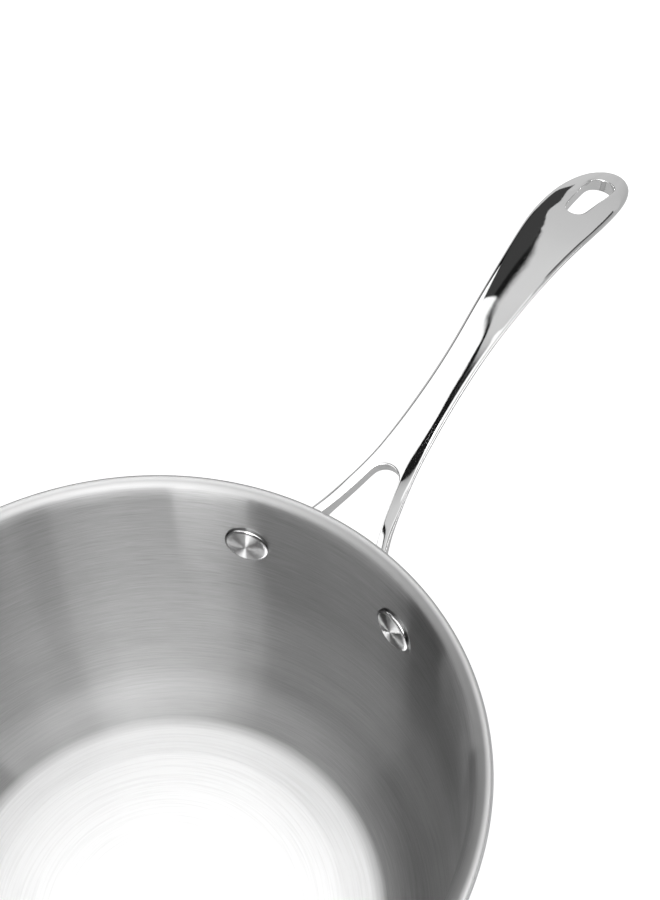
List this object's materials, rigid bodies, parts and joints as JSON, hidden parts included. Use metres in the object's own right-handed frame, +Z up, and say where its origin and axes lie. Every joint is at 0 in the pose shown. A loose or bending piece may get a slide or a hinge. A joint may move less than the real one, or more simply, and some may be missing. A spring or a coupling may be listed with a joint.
{
  "type": "saucepan",
  "caption": "Saucepan with a deep three-ply bowl, a flared pouring lip and a polished forked handle riveted to its side, ending in a paddle with a hanging eye.",
  "frame": {"origin": "centre of the base's underside", "axes": "+Z up, +X along the handle away from the bowl, +Y to the right of a cook who holds the handle and looks towards the bowl"},
  "size_m": [0.3596, 0.1922, 0.1313],
  "materials": {
    "brushed_inside": "satin, brushed round the wall",
    "core": "trimmed edge, seen only at the lip",
    "polished_outside": "bright polished",
    "mirror_cast": "mirror polished",
    "rivet_steel": "polished, lightly worn"
  },
  "bodies": {
    "root": {"inner_ply": "brushed_inside", "aluminium_core": "core", "outer_ply": "polished_outside", "handle": "mirror_cast", "rivet_left": "rivet_steel", "rivet_right": "rivet_steel"}
  },
  "joints": []
}
